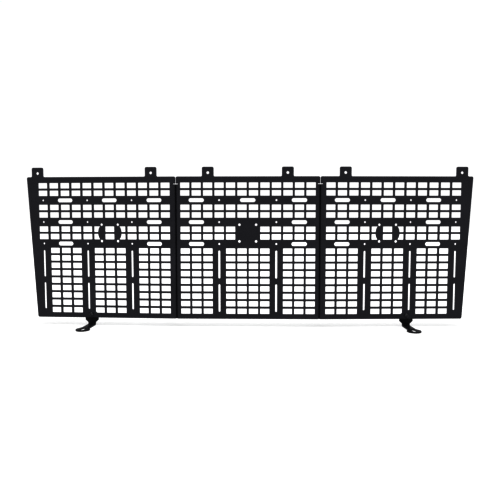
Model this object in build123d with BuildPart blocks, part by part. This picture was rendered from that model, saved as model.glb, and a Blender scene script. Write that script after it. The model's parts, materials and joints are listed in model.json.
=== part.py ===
"""Three-panel truck headache rack: laser-cut webbing panels, seam fasteners and bed feet.

Row frame, millimetres: X across the truck, +Y towards the cab side (rear of the rack),
+Z up. The origin is on the floor, at the middle of the overall width and depth.
The viewer's side, where the feet reach out over the bed, is -Y.
"""
import os
from math import cos, radians, sin, tan

from build123d import *

os.makedirs("parts", exist_ok=True)

# ---- sheet metal ----
sheet = 4.0  # thickness of the panels
foot_sheet = 4.0  # thickness of the foot brackets
inner_bend = 4.0  # inside radius of every bend
outer_bend = sheet + inner_bend
wing_sweep = 2.5  # degrees that each side panel falls back from the centre one
paint_gap = 0.2  # clearance between pieces that slide on each other

# ---- webbing grid, on a 1.5 x 1 inch pitch ----
column_pitch = 38.1
row_pitch = 25.4
columns = 12
window_width = 31.75
window_height = 19.05
window_corner = 2.0
pair_spacing = 47.625  # row to row across a rail
top_to_first_row = 28.575
last_row_to_bottom = 25.4
lower_rows = 9

# ---- panel outlines ----
floor_clearance = 27.0
center_margin = 30.5  # last column of the centre panel to the seam
wing_margin = 35.55  # seam to the first column of a side panel
wing_top_width = 508.65  # seam to outer corner, along the panel
wing_bottom_width = 481.75
outer_corner = 5.0
corner_gap = 1.9  # between the flat top corners at a seam
seam_corner = 5.0
relief_height = 2.4
relief_reach = 8.4
relief_below_top = 24.2  # top edge to the middle of the relief slit

# ---- top tabs ----
tab_width = 38.1
tab_height = 31.75
tab_corner = 4.5
tab_hole = 10.0
tab_hole_height = 12.7
center_tab_x = 132.5
wing_tab_near = 83.55
wing_tab_far = 471.55

# ---- slots and holes in the panels ----
slot_width = 14.1
slot_length = slot_width + column_pitch
rail_hole = 7.14
center_slot_length = 94.5
center_slot_drops = (292.8, 406.2)  # top edge to the middle of each vertical slot
wing_slot_length = 91.0
wing_slot_drops = (291.9, 402.2)
accessory_hole = 9.0
accessory_spacing = 55.6
accessory_disc = 39.8
accessory_column = 5

# ---- seam flanges ----
flange_depth = 30.0  # from the front face
seam_bolt_end = 35.0  # flange end to the first bolt
seam_bolt_count = 3

# ---- feet ----
foot_column = 295.0  # seam to the foot's centre line, along the panel
foot_pad = 22.225  # radius of both round ends
foot_neck = 25.4
floor_pad_reach = 76.0  # panel's front face to the centre of the floor pad
floor_blend = 30.0  # where the neck widens into the floor pad
floor_slot_width = 14.0
floor_slot_length = 36.0
floor_slot_inset = 2.0  # from the middle of the pad towards the panel
wall_pad_top = 50.5  # floor to the top of the upright pad
shoulder_low = 10.0  # heights between which the neck widens into the upright pad
shoulder_high = 18.5
shoulder_round = 3.0
foot_bolt_height = 38.0  # floor to the clamp bolt, at the middle of its slot
foot_travel = 4.0  # height adjustment either way

# ---- M8 fasteners ----
bolt = 8.0
bolt_hole = 9.0
bolt_chamfer = 0.8
hex_across = 13.0
hex_head = 5.3
button_head = 14.0
button_height = 4.4
button_flat = 7.0
button_bulge = 0.7  # how far the dome stands off a straight cone
socket_across = 5.0
socket_depth = 2.6
washer_size = 16.0
washer_sheet = 1.6
washer_play = 0.2  # radial
nut_height = 8.0
nut_hex = 6.3  # the rest of the nut's height is the collar around its locking ring
nut_ring = 5.6  # radius of that collar
nut_round = 0.8
nylon_radius = 4.7
nylon_depth = 1.4  # top of the nut down to the seat of its locking ring
nylon_sunk = 0.2
nylon_play = 0.02  # radial
thread_gap = 0.05  # radial, between a bolt and its nut
seam_bolt_length = 25.0
foot_bolt_length = 20.0

# ---- levels and places worked out from the above ----
row_drops = [top_to_first_row]
for _ in range(2):
    row_drops += [row_drops[-1] + row_pitch]
    row_drops += [row_drops[-1] + pair_spacing]
row_drops += [row_drops[-1] + row_pitch]
row_drops += [row_drops[-1] + pair_spacing + row_pitch * step for step in range(lower_rows)]
panel_height = row_drops[-1] + last_row_to_bottom
top_edge = floor_clearance + panel_height
row_levels = [top_edge - drop for drop in row_drops]
upper_rows, accessory_rows, bottom_rows = row_levels[:4], row_levels[4:6], row_levels[6:]
rail_levels = [(row_levels[row] + row_levels[row + 1]) / 2 for row in (1, 3, 5)]
accessory_level = sum(accessory_rows) / 2
relief_level = top_edge - relief_below_top
flange_top = relief_level - relief_height / 2
flange_length = flange_top - floor_clearance

seam_x = (columns - 1) / 2 * column_pitch + center_margin
center_columns = [(column - (columns - 1) / 2) * column_pitch for column in range(columns)]
wing_columns = [wing_margin + column * column_pitch for column in range(columns)]

sweep_cos = cos(radians(wing_sweep))
sweep_sin = sin(radians(wing_sweep))
foot_setback = foot_column * sweep_sin
front_reach = floor_pad_reach * sweep_cos + foot_pad - foot_setback
rear_reach = foot_bolt_length * sweep_cos + foot_setback
front_y = (front_reach - rear_reach) / 2  # front face of the centre panel

center_plane = Plane(origin=(0, front_y, 0), x_dir=(1, 0, 0), z_dir=(0, -1, 0))
wing_plane = Plane(
    origin=(seam_x, front_y, 0),
    x_dir=(sweep_cos, sweep_sin, 0),
    z_dir=(sweep_sin, -sweep_cos, 0),
)
forward = wing_plane.z_dir  # out of a side panel's front face
foot_origin = wing_plane.from_local_coords((foot_column, 0, 0))
foot_back = sheet + paint_gap + foot_sheet  # panel's front face to the back of the bracket


def mirror_places(*distances):
    """The same distances on both sides of the middle."""
    return [sign * distance for sign in (-1, 1) for distance in distances]


def add_tabs(places):
    """Hanging tabs on the top edge."""
    with Locations([(place, top_edge + tab_height / 2) for place in places]):
        Rectangle(tab_width, tab_height)


def round_top(web, low, high, radius):
    """Round the corners of the top edge and its tabs between two places along the panel."""
    corners = web.vertices().filter_by_position(Axis.X, low, high)
    fillet(corners.filter_by_position(Axis.Y, top_edge - 1, top_edge + tab_height + 1), radius)


def cut_windows(places, levels):
    """One window at each crossing of the given columns and rows."""
    with Locations([(place, level) for place in places for level in levels]):
        RectangleRounded(window_width, window_height, window_corner, mode=Mode.SUBTRACT)


def cut_slots(places, levels, length, width, rotation=0):
    """One round-ended slot at each crossing."""
    with Locations([(place, level) for place in places for level in levels]):
        SlotOverall(length, width, rotation=rotation, mode=Mode.SUBTRACT)


def cut_holes(places, levels, diameter):
    """One round hole at each crossing."""
    with Locations([(place, level) for place in places for level in levels]):
        Circle(diameter / 2, mode=Mode.SUBTRACT)


def add_flange(web_point, corner, side):
    """The strip beside a seam: it leaves the flat web, bends back and runs down the seam."""
    with BuildSketch(Plane.XY.offset(floor_clearance)) as strip:
        with BuildLine():
            rear = (corner[0], corner[1] + flange_depth)
            FilletPolyline(web_point, corner, rear, radius=outer_bend)
            offset(amount=sheet, side=side)
        make_face()
    extrude(strip.sketch, amount=flange_length)


def drill_flange(seam):
    """The clearance holes for the seam bolts."""
    with BuildSketch(seam) as holes:
        with Locations([(flange_middle, level) for level in seam_bolt_levels]):
            Circle(bolt_hole / 2)
    extrude(holes.sketch, amount=2 * sheet, both=True, mode=Mode.SUBTRACT)


# ---- panels ----
web_gap = relief_reach  # seam to the flat web, below the top corners
strip_start = outer_bend + 2.0  # seam to where the bent strip joins the web
corner_height = relief_below_top - relief_height / 2
corner_middle = top_edge - corner_height / 2
flange_middle = (outer_bend + flange_depth) / 2
seam_bolt_levels = [
    floor_clearance
    + seam_bolt_end
    + index * (flange_length - 2 * seam_bolt_end) / (seam_bolt_count - 1)
    for index in range(seam_bolt_count)
]
seam_plane = Plane(origin=(seam_x, front_y, 0), x_dir=(0, 1, 0), z_dir=(1, 0, 0))

with BuildPart() as center_panel:
    with BuildSketch(center_plane) as center_web:
        with Locations((0, floor_clearance + panel_height / 2)):
            Rectangle(2 * (seam_x - web_gap), panel_height)
        with Locations((0, corner_middle)):
            Rectangle(2 * seam_x - corner_gap, corner_height)
        add_tabs(mirror_places(center_tab_x))
        round_top(center_web, web_gap - seam_x, seam_x - web_gap, tab_corner)
        round_top(center_web, -seam_x, web_gap - seam_x, seam_corner)
        round_top(center_web, seam_x - web_gap, seam_x, seam_corner)
        cut_holes(mirror_places(center_tab_x), [top_edge + tab_hole_height], tab_hole)
        solid_columns = [center_columns[5], center_columns[6]]
        strap_columns = [center_columns[1], center_columns[10]]
        post_columns = [center_columns[3], center_columns[8]]
        cut_windows(center_columns, upper_rows)
        cut_windows([place for place in center_columns if place not in solid_columns], accessory_rows)
        cut_windows([place for place in center_columns if place not in post_columns], bottom_rows)
        cut_slots(strap_columns, rail_levels, slot_length, slot_width)
        cut_slots([0], rail_levels[:1], slot_length, slot_width)
        cut_holes(post_columns, rail_levels, rail_hole)
        post_slots = [top_edge - drop for drop in center_slot_drops]
        cut_slots(post_columns, post_slots, center_slot_length, rail_hole, 90)
        half_spacing = accessory_spacing / 2
        accessory_holes = [accessory_level - half_spacing, accessory_level + half_spacing]
        cut_holes(mirror_places(half_spacing), accessory_holes, accessory_hole)
    extrude(amount=-sheet)
    add_flange((seam_x - strip_start, front_y), (seam_x, front_y), Side.LEFT)
    add_flange((strip_start - seam_x, front_y), (-seam_x, front_y), Side.RIGHT)
    drill_flange(seam_plane)
    drill_flange(Plane(origin=(-seam_x, front_y, 0), x_dir=(0, 1, 0), z_dir=(1, 0, 0)))

with BuildPart() as right_panel:
    with BuildSketch(wing_plane) as wing_web:
        with BuildLine():
            Polyline(
                (web_gap, floor_clearance),
                (wing_bottom_width, floor_clearance),
                (wing_top_width, top_edge),
                (web_gap, top_edge),
                close=True,
            )
        make_face()
        with Locations(((corner_gap / 2 + web_gap) / 2, corner_middle)):
            Rectangle(web_gap - corner_gap / 2, corner_height)
        fillet(wing_web.vertices().sort_by(Axis.X)[-2:], outer_corner)
        add_tabs([wing_tab_near, wing_tab_far])
        round_top(wing_web, 0, web_gap, seam_corner)
        round_top(wing_web, web_gap, wing_tab_far + tab_width / 2 + 1, tab_corner)
        cut_holes([wing_tab_near, wing_tab_far], [top_edge + tab_hole_height], tab_hole)
        strap_columns = [wing_columns[1], wing_columns[9]]
        post_columns = [wing_columns[3], wing_columns[7], wing_columns[11]]
        accessory_place = wing_columns[accessory_column]
        cut_windows(wing_columns, upper_rows + accessory_rows)
        with Locations((accessory_place, accessory_level)):
            Circle(accessory_disc)
        cut_windows([accessory_place], accessory_rows)
        cut_windows([place for place in wing_columns if place not in post_columns], bottom_rows)
        cut_slots(strap_columns, rail_levels, slot_length, slot_width)
        cut_slots([accessory_place], rail_levels[:1], slot_length, slot_width)
        cut_holes(post_columns, rail_levels, rail_hole)
        post_slots = [top_edge - drop for drop in wing_slot_drops]
        cut_slots(post_columns, post_slots, wing_slot_length, rail_hole, 90)
        accessory_places = [accessory_place - half_spacing, accessory_place + half_spacing]
        cut_holes(accessory_places, accessory_holes, accessory_hole)
        cut_holes([foot_column], [foot_bolt_height], bolt_hole)
    extrude(amount=-sheet)
    strip_point = wing_plane.from_local_coords((strip_start, 0, 0))
    add_flange((strip_point.X, strip_point.Y), (seam_x, front_y), Side.RIGHT)
    drill_flange(seam_plane)

with BuildPart() as left_panel:
    mirror(right_panel.part, about=Plane.YZ)


# ---- foot brackets ----
with BuildPart() as right_foot:
    section = Plane(origin=foot_origin, x_dir=forward, z_dir=-wing_plane.x_dir)
    bend_outside = foot_sheet + inner_bend
    with BuildSketch(section):
        with BuildLine():
            FilletPolyline(
                (bend_outside, 0),
                (-foot_back, 0),
                (-foot_back, bend_outside + foot_sheet),
                radius=bend_outside,
            )
            offset(amount=foot_sheet, side=Side.RIGHT)
        make_face()
    extrude(amount=foot_neck / 2, both=True)
    with BuildSketch(Plane(origin=foot_origin, x_dir=forward, z_dir=(0, 0, 1))) as floor_pad:
        with Locations((floor_pad_reach, 0)):
            Circle(foot_pad)
        with Locations((floor_pad_reach / 2, 0)):
            Rectangle(floor_pad_reach, foot_neck)
        fillet(floor_pad.vertices().filter_by_position(Axis.X, 1, floor_pad_reach), floor_blend)
        with Locations((floor_pad_reach - floor_slot_inset, 0)):
            SlotOverall(floor_slot_length, floor_slot_width, mode=Mode.SUBTRACT)
    extrude(amount=foot_sheet)
    upright = Plane(origin=foot_origin - forward * foot_back, x_dir=(0, 0, 1), z_dir=forward)
    with BuildSketch(upright) as wall_pad:
        with BuildLine():
            Polyline(
                (wall_pad_top, 0),
                (bend_outside, 0),
                (bend_outside, foot_neck / 2),
                (shoulder_low, foot_neck / 2),
                (shoulder_high, foot_pad),
                (wall_pad_top - foot_pad, foot_pad),
            )
            CenterArc((wall_pad_top - foot_pad, 0), foot_pad, 0, 90)
        make_face()
        mirror(about=Plane.XZ)
        shoulders = wall_pad.vertices().filter_by_position(Axis.X, shoulder_low, shoulder_high)
        fillet(shoulders, shoulder_round)
        with Locations((foot_bolt_height, 0)):
            SlotOverall(bolt_hole + 2 * foot_travel, bolt_hole, mode=Mode.SUBTRACT)
    extrude(amount=foot_sheet)

with BuildPart() as left_foot:
    mirror(right_foot.part, about=Plane.YZ)


# ---- fasteners, each drawn once at the origin with its bearing face on Z = 0 ----
hex_corner = hex_across / 2 / cos(radians(30))
hex_rise = (hex_corner - hex_across / 2) * tan(radians(30))

with BuildPart() as hex_bolt:
    with BuildSketch():
        RegularPolygon(hex_across / 2, 6, major_radius=False)
    extrude(amount=hex_head)
    with BuildSketch(Plane.XZ):
        with BuildLine():
            Polyline(
                (0, 0),
                (hex_corner, 0),
                (hex_corner, hex_head - hex_rise),
                (hex_across / 2, hex_head),
                (0, hex_head),
                close=True,
            )
        make_face()
    revolve(axis=Axis.Z, mode=Mode.INTERSECT)
    with BuildSketch():
        Circle(bolt / 2)
    extrude(amount=-seam_bolt_length)
    chamfer(hex_bolt.edges().sort_by(Axis.Z)[0], bolt_chamfer)

with BuildPart() as button_bolt:
    with BuildSketch(Plane.XZ):
        with BuildLine():
            Polyline((button_flat / 2, button_height), (0, button_height), (0, 0), (button_head / 2, 0))
            dome_middle = ((button_flat + button_head) / 4 + button_bulge, button_height / 2 + button_bulge)
            ThreePointArc((button_head / 2, 0), dome_middle, (button_flat / 2, button_height))
        make_face()
    revolve(axis=Axis.Z)
    with BuildSketch(Plane.XY.offset(button_height)):
        RegularPolygon(socket_across / 2, 6, major_radius=False)
    extrude(amount=-socket_depth, mode=Mode.SUBTRACT)
    with BuildSketch():
        Circle(bolt / 2)
    extrude(amount=-foot_bolt_length)
    chamfer(button_bolt.edges().sort_by(Axis.Z)[0], bolt_chamfer)

with BuildPart() as washer:
    with BuildSketch():
        Circle(washer_size / 2)
        Circle(bolt / 2 + washer_play, mode=Mode.SUBTRACT)
    extrude(amount=washer_sheet)

with BuildPart() as lock_nut:
    with BuildSketch():
        RegularPolygon(hex_across / 2, 6, major_radius=False)
    extrude(amount=nut_hex)
    with BuildSketch(Plane.XZ):
        with BuildLine():
            Polyline(
                (0, 0),
                (hex_across / 2, 0),
                (hex_corner, hex_rise),
                (hex_corner, nut_hex - hex_rise),
                (hex_across / 2, nut_hex),
                (0, nut_hex),
                close=True,
            )
        make_face()
    revolve(axis=Axis.Z, mode=Mode.INTERSECT)
    with BuildSketch(Plane.XY.offset(nut_hex)):
        Circle(nut_ring)
    extrude(amount=nut_height - nut_hex)
    fillet(lock_nut.edges().group_by(Axis.Z)[-1], nut_round)
    with BuildSketch(Plane.XY.offset(nut_height)):
        Circle(nylon_radius)
    extrude(amount=-nylon_depth, mode=Mode.SUBTRACT)
    Hole(bolt / 2 + thread_gap)

with BuildPart() as locking_ring:
    with BuildSketch(Plane.XY.offset(nut_height - nylon_depth)):
        Circle(nylon_radius - nylon_play)
        Circle(bolt / 2 + thread_gap, mode=Mode.SUBTRACT)
    extrude(amount=nylon_depth - nylon_sunk)


def facing(points, direction, distance):
    """Planes at a distance from some points along a direction, looking that way."""
    return [
        Plane(origin=Vector(point) + direction * distance, x_dir=(0, 0, 1), z_dir=direction)
        for point in points
    ]


inward, outward = Vector(-1, 0, 0), Vector(1, 0, 0)
seam_points = [(seam_x, front_y + flange_middle, level) for level in seam_bolt_levels]
foot_point = [wing_plane.from_local_coords((foot_column, foot_bolt_height, 0))]
clamp_back = foot_back + paint_gap
groups = {
    "seam_bolts": (hex_bolt, facing(seam_points, inward, sheet + washer_sheet)),
    "seam_head_washers": (washer, facing(seam_points, inward, sheet)),
    "seam_nut_washers": (washer, facing(seam_points, outward, sheet)),
    "seam_nuts": (lock_nut, facing(seam_points, outward, sheet + washer_sheet)),
    "seam_nut_rings": (locking_ring, facing(seam_points, outward, sheet + washer_sheet)),
    "foot_bolt": (button_bolt, facing(foot_point, forward, 0)),
    "foot_washer": (washer, facing(foot_point, -forward, clamp_back)),
    "foot_nut": (lock_nut, facing(foot_point, -forward, clamp_back + washer_sheet)),
    "foot_nut_ring": (locking_ring, facing(foot_point, -forward, clamp_back + washer_sheet)),
}

for name, (master, places) in groups.items():
    with BuildPart() as right_group:
        with Locations(*places):
            add(master.part)
    right_group.part.label = f"right_{name}"
    export_step(right_group.part, f"parts/right_{name}.step")
    with BuildPart() as left_group:
        mirror(right_group.part, about=Plane.YZ)
    left_group.part.label = f"left_{name}"
    export_step(left_group.part, f"parts/left_{name}.step")

# ---- write the panels and the brackets ----
center_panel.part.label = "center_panel"
export_step(center_panel.part, "parts/center_panel.step")
left_panel.part.label = "left_panel"
export_step(left_panel.part, "parts/left_panel.step")
right_panel.part.label = "right_panel"
export_step(right_panel.part, "parts/right_panel.step")
left_foot.part.label = "left_foot"
export_step(left_foot.part, "parts/left_foot.step")
right_foot.part.label = "right_foot"
export_step(right_foot.part, "parts/right_foot.step")
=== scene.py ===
"""Looks for the three-panel headache rack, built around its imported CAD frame."""
import json
from math import cos, pi, radians, sin

import bmesh
import bpy
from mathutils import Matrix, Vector

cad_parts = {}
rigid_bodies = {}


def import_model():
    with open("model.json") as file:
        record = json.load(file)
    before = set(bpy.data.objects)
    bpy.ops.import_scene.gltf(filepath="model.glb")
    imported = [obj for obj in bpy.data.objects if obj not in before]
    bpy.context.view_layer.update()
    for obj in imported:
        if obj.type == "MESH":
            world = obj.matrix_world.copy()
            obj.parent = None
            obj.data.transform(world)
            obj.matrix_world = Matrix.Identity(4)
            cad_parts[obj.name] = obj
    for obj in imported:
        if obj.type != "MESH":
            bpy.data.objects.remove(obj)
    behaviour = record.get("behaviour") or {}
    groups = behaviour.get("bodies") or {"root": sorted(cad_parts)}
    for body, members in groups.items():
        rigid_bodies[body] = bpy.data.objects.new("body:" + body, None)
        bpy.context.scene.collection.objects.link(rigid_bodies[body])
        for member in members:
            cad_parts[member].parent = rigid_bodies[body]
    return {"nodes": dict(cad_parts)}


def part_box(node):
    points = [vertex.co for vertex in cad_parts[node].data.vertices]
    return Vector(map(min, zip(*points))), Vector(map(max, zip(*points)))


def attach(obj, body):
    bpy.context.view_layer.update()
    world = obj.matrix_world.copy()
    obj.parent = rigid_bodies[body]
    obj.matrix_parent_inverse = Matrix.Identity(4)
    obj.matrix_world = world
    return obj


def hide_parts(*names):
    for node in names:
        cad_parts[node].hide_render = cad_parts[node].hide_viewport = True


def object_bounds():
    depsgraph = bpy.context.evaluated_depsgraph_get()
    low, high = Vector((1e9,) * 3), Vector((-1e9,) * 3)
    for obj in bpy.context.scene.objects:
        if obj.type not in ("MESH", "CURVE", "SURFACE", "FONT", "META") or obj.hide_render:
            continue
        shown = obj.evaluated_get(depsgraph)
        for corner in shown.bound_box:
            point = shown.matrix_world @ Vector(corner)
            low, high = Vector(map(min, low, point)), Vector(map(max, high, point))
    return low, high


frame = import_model()
cad_low, cad_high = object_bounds()
nodes = frame["nodes"]

MM = 0.001
UP = Vector((0, 0, 1))
TURN = 2 * pi
WHITE = (1.0, 1.0, 1.0, 1.0)

PANELS = ("center_panel", "left_panel", "right_panel")
FEET = ("left_foot", "right_foot")
SIDES = ("left", "right")
WASHER_PARTS = ("seam_head_washers", "seam_nut_washers", "foot_washer")
WASHERS = tuple(f"{side}_{part}" for side in SIDES for part in WASHER_PARTS)

# ---- finishes; noise scales are in features per metre ----
NOISE_SPAN = (0.3, 0.7)  # most of a noise's values lie in here

PANEL_TINT = (0.050, 0.050, 0.060)
PANEL_SPECULAR = 0.5
PANEL_ROUGHNESS = 0.48
PANEL_GRAIN_DEPTH = 0.07 * MM
FOOT_TINT = (0.026, 0.026, 0.030)
FOOT_SPECULAR = 0.35
FOOT_ROUGHNESS = 0.40
FOOT_GRAIN_DEPTH = 0.03 * MM

TONE_SCALE = 14.0
TONE_SWING = 0.1
GLOSS_SCALE = 55.0
GLOSS_SWING = 0.08
PEEL_SCALE = 420.0
PEEL_STRENGTH = 0.5
PEEL_DEPTH = 0.08 * MM
GRAIN_SCALE = 2200.0
GRAIN_STRENGTH = 0.9

BOLT_TINT = (0.15, 0.15, 0.16)
NUT_TINT = (0.14, 0.14, 0.15)
ZINC_METAL = 0.75
ZINC_ROUGHNESS = 0.36
ZINC_ROUGHNESS_SPAN = (0.28, 0.46)
ZINC_PATCH_SCALE = 260.0
ZINC_PATCH_SHADE = 0.55
MARK_SCALE = 900.0
MARK_STRENGTH = 0.25
MARK_DEPTH = 0.02 * MM

NYLON_TINT = (0.10, 0.10, 0.105)
NYLON_ROUGHNESS = 0.38

# ---- edges of the CAD pieces ----
COATED_EDGE = 0.3 * MM
WASHER_EDGE = 0.2 * MM
EDGE_SEGMENTS = 2
WELD_DISTANCE = 0.001 * MM
FLAT_WITHIN = radians(0.3)
SHARP_FROM = radians(35)

# ---- fasteners, in millimetres ----
STEPS = 36  # around a turned piece
SMOOTH_BELOW = radians(32)
SWEEP = radians(2.5)

THREAD = 8.0
THREAD_DEPTH = 0.7
ROOT = THREAD / 2 - THREAD_DEPTH
PITCH = 1.25
RINGS_PER_TURN = 10
RIDGE_PEAK = 1.25  # of the thread's depth, cut off flat at 1
RIDGE_FALL = 3.2  # of the thread's depth, per pitch away from the ridge
TIP_INSET = 0.2  # of the tip's chamfer, inside the root

HEX_ACROSS = 13.0
HEX_FACE = 0.94  # diameter of a chamfered hexagon's end face, of its width across flats
CHAMFER_STEPS = 4
CHAMFER_RISE = 0.58
HEX_HEAD = 5.3
HEAD_COLLAR = 5.8  # radius of the round face under a hexagon head
HEAD_COLLAR_HEIGHT = 0.35
HEAD_COLLAR_CHAMFER = 0.1
HEAD_TOP_RING = 0.9  # radius of the innermost ring on a hexagon head, of half its width

BUTTON_HEAD = 14.0
BUTTON_FLAT = 7.0
BUTTON_HEIGHT = 4.4
BUTTON_RIM = 0.35
BUTTON_CHAMFER = 0.25
BUTTON_SHOULDER = 1.3  # bulge of the dome over a straight cone
DOME_STEPS = 7
SOCKET_ACROSS = 5.0
SOCKET_DEPTH = 2.6
SOCKET_LEAD = 0.5  # wider at its mouth
SOCKET_LEAD_DEPTH = 0.3
DRILL_DEPTH = 0.5  # of the cone below the socket
DRILL_TIP = 0.4

BORE = 4.05
BORE_CHAMFER = 0.4
NUT_HEX = 6.3
NUT_COLLAR = 5.6
NUT_HEIGHT = 8.0
NUT_FILLET = (0.2, 0.15)  # height and width, where the collar meets the hexagon
LIP_RADIUS = 0.7
LIP_START = 0.75  # below the top of the nut
LIP_BENDS = (0, 0.5, 1.0, pi / 2)
NYLON_OUT = 4.7
NYLON_SEAT = 6.6
NYLON_SUNK = 0.2
NYLON_PLAY = 0.02
NYLON_LIP = 0.1
NYLON_BEVEL = 0.13
NYLON_COUNTERSINK = (0.25, 0.3)  # depth and width

WASHER_RADIUS = 8.0
WASHER_SHEET = 1.6
SEAM_BOLT = 25.0
SEAM_PLAIN = 17.0  # of its shank, under the head
FOOT_BOLT = 20.0
FOOT_PLAIN = 14.0
CLAMP_STACK = 9.2  # middle of the clamp washer to the panel's front face

# ---- studio, in metres and watts ----
FLOOR_LEVEL = -0.0002
FLOOR_REACH = 12.0
FLOOR_TINT = (0.45, 0.45, 0.45)
FLOOR_ROUGHNESS = 0.9
FLOOR_GLOW = 0.508
ROOM_LIGHT = 1.03
CONTRAST = 0.47
STRIP_SIZE = (0.8, 2.2)
STRIP_OUT, STRIP_BACK, STRIP_UP = 2.3, 0.9, 1.2
STRIP_POWER = 60.0
SUN_POWER = 1.7
SUN_DISC = radians(13)  # as wide as the sun looks
SUN_TILT = radians(5.0)

# ---- camera: where a pinhole view of the rack's openings puts it ----
CAMERA_PLACE = (45.12 * MM, -1638.53 * MM, 371.44 * MM)
CAMERA_DOWN = 3.845  # degrees below level
CAMERA_LEFT = 1.293  # degrees turned to the left
CAMERA_LENS = 36.0
CAMERA_SENSOR = 36.0


# ---- materials ----
class Shader:
    """A material and the few node links that every finish here needs."""

    def __init__(self, name, color, roughness, metallic=0.0, specular=0.5):
        self.material = bpy.data.materials.new(name)
        self.material.use_nodes = True
        self.tree = self.material.node_tree
        self.surface = self.tree.nodes["Principled BSDF"]
        self.surface.inputs["Base Color"].default_value = (*color, 1.0)
        self.surface.inputs["Roughness"].default_value = roughness
        self.surface.inputs["Metallic"].default_value = metallic
        self.surface.inputs["Specular IOR Level"].default_value = specular
        self.place = self.node("ShaderNodeTexCoord").outputs["Object"]

    def node(self, kind):
        return self.tree.nodes.new(kind)

    def link(self, source, target):
        self.tree.links.new(source, target)

    def noise(self, scale, detail=2.0):
        made = self.node("ShaderNodeTexNoise")
        made.inputs["Scale"].default_value = scale
        made.inputs["Detail"].default_value = detail
        self.link(self.place, made.inputs["Vector"])
        return made.outputs["Fac"]

    def blend(self, noise, darker, lighter):
        """A colour that goes from darker to lighter over a noise's span."""
        made = self.node("ShaderNodeValToRGB")
        for element, position, color in zip(made.color_ramp.elements, NOISE_SPAN, (darker, lighter)):
            element.position = position
            element.color = (*color, 1.0)
        self.link(noise, made.inputs["Fac"])
        return made.outputs["Color"]

    def spread(self, noise, low, high):
        """A value that goes from low to high over a noise's span."""
        made = self.node("ShaderNodeMapRange")
        made.inputs["From Min"].default_value, made.inputs["From Max"].default_value = NOISE_SPAN
        made.inputs["To Min"].default_value = low
        made.inputs["To Max"].default_value = high
        self.link(noise, made.inputs["Value"])
        return made.outputs["Result"]

    def bump(self, height, strength, distance, under=None):
        made = self.node("ShaderNodeBump")
        made.inputs["Strength"].default_value = strength
        made.inputs["Distance"].default_value = distance
        self.link(height, made.inputs["Height"])
        if under is not None:
            self.link(under, made.inputs["Normal"])
        return made.outputs["Normal"]


def scaled(tint, share):
    return tuple(share * channel for channel in tint)


def powder_coat(name, tint, specular, roughness, grain_depth):
    """Black powder coat: a sandy grain over a soft orange peel, a little uneven in tone and gloss."""
    coat = Shader(name, tint, roughness, specular=specular)
    darker, lighter = scaled(tint, 1 - TONE_SWING), scaled(tint, 1 + TONE_SWING)
    tone = coat.blend(coat.noise(TONE_SCALE, detail=3.0), darker, lighter)
    coat.link(tone, coat.surface.inputs["Base Color"])
    patches = coat.noise(GLOSS_SCALE, detail=4.0)
    gloss = coat.spread(patches, roughness - GLOSS_SWING, roughness + GLOSS_SWING)
    coat.link(gloss, coat.surface.inputs["Roughness"])
    peel = coat.bump(coat.noise(PEEL_SCALE), PEEL_STRENGTH, PEEL_DEPTH)
    grain = coat.bump(coat.noise(GRAIN_SCALE, detail=1.5), GRAIN_STRENGTH, grain_depth, under=peel)
    coat.link(grain, coat.surface.inputs["Normal"])
    return coat.material


def black_zinc(name, tint):
    """Black plated steel with a faint metallic sheen and handling marks."""
    steel = Shader(name, tint, ZINC_ROUGHNESS, metallic=ZINC_METAL)
    marks = steel.noise(MARK_SCALE, detail=3.0)
    steel.link(steel.spread(marks, *ZINC_ROUGHNESS_SPAN), steel.surface.inputs["Roughness"])
    tone = steel.blend(steel.noise(ZINC_PATCH_SCALE), scaled(tint, ZINC_PATCH_SHADE), tint)
    steel.link(tone, steel.surface.inputs["Base Color"])
    steel.link(steel.bump(marks, MARK_STRENGTH, MARK_DEPTH), steel.surface.inputs["Normal"])
    return steel.material


def dress(names, material):
    for name in names:
        nodes[name].data.materials.clear()
        nodes[name].data.materials.append(material)


def soften(names, width):
    """Rounds the sharp edges of CAD nodes by a hair, as their coating does."""
    for name in names:
        weld = nodes[name].modifiers.new("weld", "WELD")
        weld.merge_threshold = WELD_DISTANCE
        flat = nodes[name].modifiers.new("flat_faces", "DECIMATE")
        flat.decimate_type = "DISSOLVE"
        flat.angle_limit = FLAT_WITHIN
        bevel = nodes[name].modifiers.new("edges", "BEVEL")
        bevel.width = width
        bevel.segments = EDGE_SEGMENTS
        bevel.limit_method = "ANGLE"
        bevel.angle_limit = SHARP_FROM
        bevel.use_clamp_overlap = False
        bevel.loop_slide = False
        bevel.harden_normals = True
        even = nodes[name].modifiers.new("even_shading", "WEIGHTED_NORMAL")
        even.weight = 100


dress(PANELS, powder_coat("powder_coat", PANEL_TINT, PANEL_SPECULAR, PANEL_ROUGHNESS, PANEL_GRAIN_DEPTH))
dress(FEET, powder_coat("foot_coat", FOOT_TINT, FOOT_SPECULAR, FOOT_ROUGHNESS, FOOT_GRAIN_DEPTH))
dress(WASHERS, black_zinc("washer_steel", BOLT_TINT))
soften(PANELS + FEET, COATED_EDGE)
soften(WASHERS, WASHER_EDGE)


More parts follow.
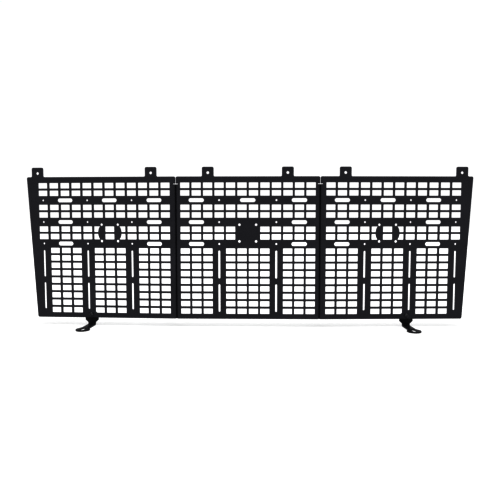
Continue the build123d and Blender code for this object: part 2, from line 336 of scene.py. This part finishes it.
# ---- fasteners, turned about their own axes ----
def turned(name, body, material, base, axis, rings, hollow=False):
    """A closed piece made of rings along an axis. A ring is a height and a radius, or a rule that
    gives the radius at each angle, with angle 0 towards the top."""
    side_way = axis.cross(UP)
    mesh = bmesh.new()
    made = []
    for height, radius in rings:
        ring = []
        for step in range(STEPS):
            angle = TURN * step / STEPS
            reach = (radius(angle) if callable(radius) else radius) * MM
            out = UP * cos(angle) + side_way * sin(angle)
            ring.append(mesh.verts.new(base + axis * height * MM + out * reach))
        made.append(ring)
    pairs = list(zip(made, made[1:]))
    if hollow:
        pairs.append((made[-1], made[0]))
    else:
        mesh.faces.new(reversed(made[0]))
        mesh.faces.new(made[-1])
    for lower, upper in pairs:
        for step in range(STEPS):
            after = (step + 1) % STEPS
            mesh.faces.new((lower[step], lower[after], upper[after], upper[step]))
    bmesh.ops.recalc_face_normals(mesh, faces=mesh.faces)
    data = bpy.data.meshes.new(name)
    mesh.to_mesh(data)
    mesh.free()
    data.shade_smooth()
    data.set_sharp_from_angle(angle=SMOOTH_BELOW)
    data.materials.append(material)
    piece = bpy.data.objects.new(name, data)
    bpy.context.scene.collection.objects.link(piece)
    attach(piece, body)
    return piece


def hexagon(across, limit):
    """The radius of a hexagon with a corner at angle 0, cut off by a cone."""
    def radius(angle):
        from_flat = angle % (TURN / 6) - TURN / 12
        return min(across / 2 / cos(from_flat), limit)
    return radius


def hex_prism(across, bottom, top):
    """The side of a nut or a bolt head, with the corners of both ends chamfered."""
    corner = across / 2 / cos(TURN / 12)
    cut = corner - HEX_FACE * across / 2
    rise = []
    fall = []
    for index in range(CHAMFER_STEPS + 1):
        part = index / CHAMFER_STEPS
        rise.append((bottom + cut * CHAMFER_RISE * part, hexagon(across, corner - cut * (1 - part))))
        fall.append((top - cut * CHAMFER_RISE * (1 - part), hexagon(across, corner - cut * part)))
    return rise + fall


def threaded_shank(length, plain):
    """Rings from the chamfered tip to the bearing face; the thread ends in a plain stretch."""
    def ring(height):
        lead = ROOT - TIP_INSET + (height + length)
        runout = ROOT + (-plain - height)

        def radius(angle):
            phase = (height / PITCH - angle / TURN) % 1
            ridge = min(max(RIDGE_PEAK - RIDGE_FALL * abs(phase - 0.5), 0), 1)
            return min(ROOT + THREAD_DEPTH * ridge, lead, max(runout, ROOT))
        return radius

    count = round((length - plain) / PITCH * RINGS_PER_TURN)
    heights = [-length + index * (length - plain) / count for index in range(count + 1)]
    return [(height, ring(height)) for height in heights] + [(0, ROOT)]


def hex_head():
    """A round bearing face, the chamfered hexagon and its flat top."""
    collar = [(0, HEAD_COLLAR - HEAD_COLLAR_CHAMFER), (HEAD_COLLAR_HEIGHT, HEAD_COLLAR)]
    top = [(HEX_HEAD, HEAD_TOP_RING * HEX_ACROSS / 2)]
    return collar + hex_prism(HEX_ACROSS, HEAD_COLLAR_HEIGHT, HEX_HEAD) + top


def button_head():
    """A low dome with a hexagonal socket."""
    rim, flat = Vector((BUTTON_HEAD / 2, BUTTON_RIM)), Vector((BUTTON_FLAT / 2, BUTTON_HEIGHT))
    shoulder = (rim + flat) / 2 + Vector((BUTTON_SHOULDER, BUTTON_SHOULDER))
    rings = [(0, BUTTON_HEAD / 2 - BUTTON_CHAMFER)]
    for index in range(DOME_STEPS + 1):
        part = index / DOME_STEPS
        point = rim * (1 - part) ** 2 + shoulder * 2 * part * (1 - part) + flat * part ** 2
        rings.append((point.y, point.x))
    mouth = hexagon(SOCKET_ACROSS + SOCKET_LEAD, SOCKET_ACROSS)
    wall = hexagon(SOCKET_ACROSS, SOCKET_ACROSS)
    bottom = BUTTON_HEIGHT - SOCKET_DEPTH
    rings += [(BUTTON_HEIGHT, mouth), (BUTTON_HEIGHT - SOCKET_LEAD_DEPTH, wall)]
    rings += [(bottom, wall), (bottom - DRILL_DEPTH, DRILL_TIP)]
    return rings


def lock_nut():
    """Hexagon, round collar with a rolled lip, and the bore; its nylon ring is a piece of its own."""
    fillet_height, fillet_width = NUT_FILLET
    lip_level = NUT_HEIGHT - LIP_START
    lip_middle = NUT_COLLAR - LIP_RADIUS
    entry = [(BORE_CHAMFER, BORE), (0, BORE + BORE_CHAMFER)]
    collar = [(NUT_HEX, NUT_COLLAR + fillet_width), (NUT_HEX + fillet_height, NUT_COLLAR)]
    lip = [(lip_level + LIP_RADIUS * sin(bend), lip_middle + LIP_RADIUS * cos(bend)) for bend in LIP_BENDS]
    mouth = [(NUT_HEIGHT, NYLON_OUT + NYLON_LIP), (NUT_HEIGHT - NYLON_LIP, NYLON_OUT)]
    seat = [(NYLON_SEAT, NYLON_OUT), (NYLON_SEAT, BORE)]
    return entry + hex_prism(HEX_ACROSS, 0, NUT_HEX) + collar + lip + mouth + seat


def nylon_ring():
    """The locking ring in the nut's collar, bevelled outside and countersunk inside."""
    top, edge = NUT_HEIGHT - NYLON_SUNK, NYLON_OUT - NYLON_PLAY
    sunk_depth, sunk_width = NYLON_COUNTERSINK
    wall = [(NYLON_SEAT, BORE), (NYLON_SEAT, edge), (top - NYLON_LIP, edge)]
    return wall + [(top, edge - NYLON_BEVEL), (top, BORE + sunk_width), (top - sunk_depth, BORE)]


def middle(node):
    low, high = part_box(node)
    return (Vector(low) + Vector(high)) / 2


def fasten(name, washer, bearing, axis, head, length, plain, stands_for):
    """One bolt with its nut and nylon ring. The head bears at a point and its nut on the washer."""
    bolt_node, nut_node, ring_node = stands_for
    bolt = turned(f"{name}_bolt", "rack", bolt_steel, bearing, axis, threaded_shank(length, plain) + head)
    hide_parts(bolt_node)
    nut_base = washer - axis * WASHER_SHEET / 2 * MM
    nut = turned(f"{name}_nut", "rack", nut_steel, nut_base, -axis, lock_nut(), hollow=True)
    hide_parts(nut_node)
    ring = turned(f"{name}_nut_ring", "rack", nylon, nut_base, -axis, nylon_ring(), hollow=True)
    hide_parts(ring_node)


bolt_steel = black_zinc("bolt_steel", BOLT_TINT)
nut_steel = black_zinc("nut_steel", NUT_TINT)
nylon = Shader("nylon", NYLON_TINT, NYLON_ROUGHNESS).material

for side, hand in zip(SIDES, (-1, 1)):
    head_washer = middle(f"{side}_seam_head_washers")
    nut_washer = middle(f"{side}_seam_nut_washers")
    washers_low, washers_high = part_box(f"{side}_seam_head_washers")
    lowest, highest = washers_low[2] + WASHER_RADIUS * MM, washers_high[2] - WASHER_RADIUS * MM
    inward = Vector((-hand, 0, 0))
    seam_nodes = [f"{side}_seam_{part}" for part in ("bolts", "nuts", "nut_rings")]
    for number, level in enumerate((lowest, (lowest + highest) / 2, highest), 1):
        name = f"{side}_seam_{number}"
        bearing = Vector((head_washer.x, head_washer.y, level)) + inward * WASHER_SHEET / 2 * MM
        under_nut = Vector((nut_washer.x, nut_washer.y, level))
        fasten(name, under_nut, bearing, inward, hex_head(), SEAM_BOLT, SEAM_PLAIN, seam_nodes)
    forward = Vector((hand * sin(SWEEP), -cos(SWEEP), 0))
    clamp_washer = middle(f"{side}_foot_washer")
    foot_nodes = [f"{side}_foot_{part}" for part in ("bolt", "nut", "nut_ring")]
    bearing = clamp_washer + forward * CLAMP_STACK * MM
    name = f"{side}_clamp"
    fasten(name, clamp_washer, bearing, forward, button_head(), FOOT_BOLT, FOOT_PLAIN, foot_nodes)


# ---- studio ----
def light_table():
    """A pale floor that glows from below, so that shadows on it stay faint."""
    table = Shader("studio_floor", FLOOR_TINT, FLOOR_ROUGHNESS, specular=0.0)
    table.surface.inputs["Emission Color"].default_value = WHITE
    table.surface.inputs["Emission Strength"].default_value = FLOOR_GLOW
    corners = [(x * FLOOR_REACH, y * FLOOR_REACH, 0) for x, y in ((-1, -1), (1, -1), (1, 1), (-1, 1))]
    data = bpy.data.meshes.new("floor")
    data.from_pydata(corners, [], [(0, 1, 2, 3)])
    data.materials.append(table.material)
    piece = bpy.data.objects.new("floor", data)
    piece.location = (0, 0, FLOOR_LEVEL)
    bpy.context.scene.collection.objects.link(piece)


def white_room():
    """Even white light from all around, shown through a film that keeps dark tones dark."""
    world = bpy.data.worlds.new("studio")
    world.use_nodes = True
    backdrop = world.node_tree.nodes["Background"]
    backdrop.inputs["Color"].default_value = WHITE
    backdrop.inputs["Strength"].default_value = ROOM_LIGHT
    bpy.context.scene.world = world
    bpy.context.scene.view_settings.view_transform = "Standard"
    bpy.context.scene.view_settings.gamma = CONTRAST


def softbox(name, place, receivers):
    """A rectangular lamp that points at the middle of the rack and doesn't reach the floor."""
    data = bpy.data.lights.new(name, "AREA")
    data.shape = "RECTANGLE"
    data.size, data.size_y = STRIP_SIZE
    data.energy = STRIP_POWER
    lamp = bpy.data.objects.new(name, data)
    lamp.location = place
    middle_of_rack = (Vector(cad_low) + Vector(cad_high)) / 2
    lamp.rotation_euler = (middle_of_rack - Vector(place)).to_track_quat("-Z", "Y").to_euler()
    lamp.light_linking.receiver_collection = receivers
    bpy.context.scene.collection.objects.link(lamp)


def overhead_sun():
    """The lamp that draws the narrow shadow under the panels."""
    data = bpy.data.lights.new("overhead", "SUN")
    data.energy = SUN_POWER
    data.angle = SUN_DISC
    sun = bpy.data.objects.new("overhead", data)
    sun.rotation_euler = (SUN_TILT, 0.0, 0.0)
    bpy.context.scene.collection.objects.link(sun)


rack_pieces = bpy.data.collections.new("rack_pieces")
for piece in bpy.context.scene.objects:
    if piece.type == "MESH":
        rack_pieces.objects.link(piece)

light_table()
white_room()
softbox("rear_strip_left", (-STRIP_OUT, STRIP_BACK, STRIP_UP), rack_pieces)
softbox("rear_strip_right", (STRIP_OUT, STRIP_BACK, STRIP_UP), rack_pieces)
overhead_sun()

# ---- camera ----
camera_data = bpy.data.cameras.new("camera")
camera_data.lens = CAMERA_LENS
camera_data.sensor_width = CAMERA_SENSOR
camera = bpy.data.objects.new("camera", camera_data)
camera.location = CAMERA_PLACE
camera.rotation_euler = (radians(90 - CAMERA_DOWN), 0.0, radians(CAMERA_LEFT))
bpy.context.scene.collection.objects.link(camera)
bpy.context.scene.camera = camera
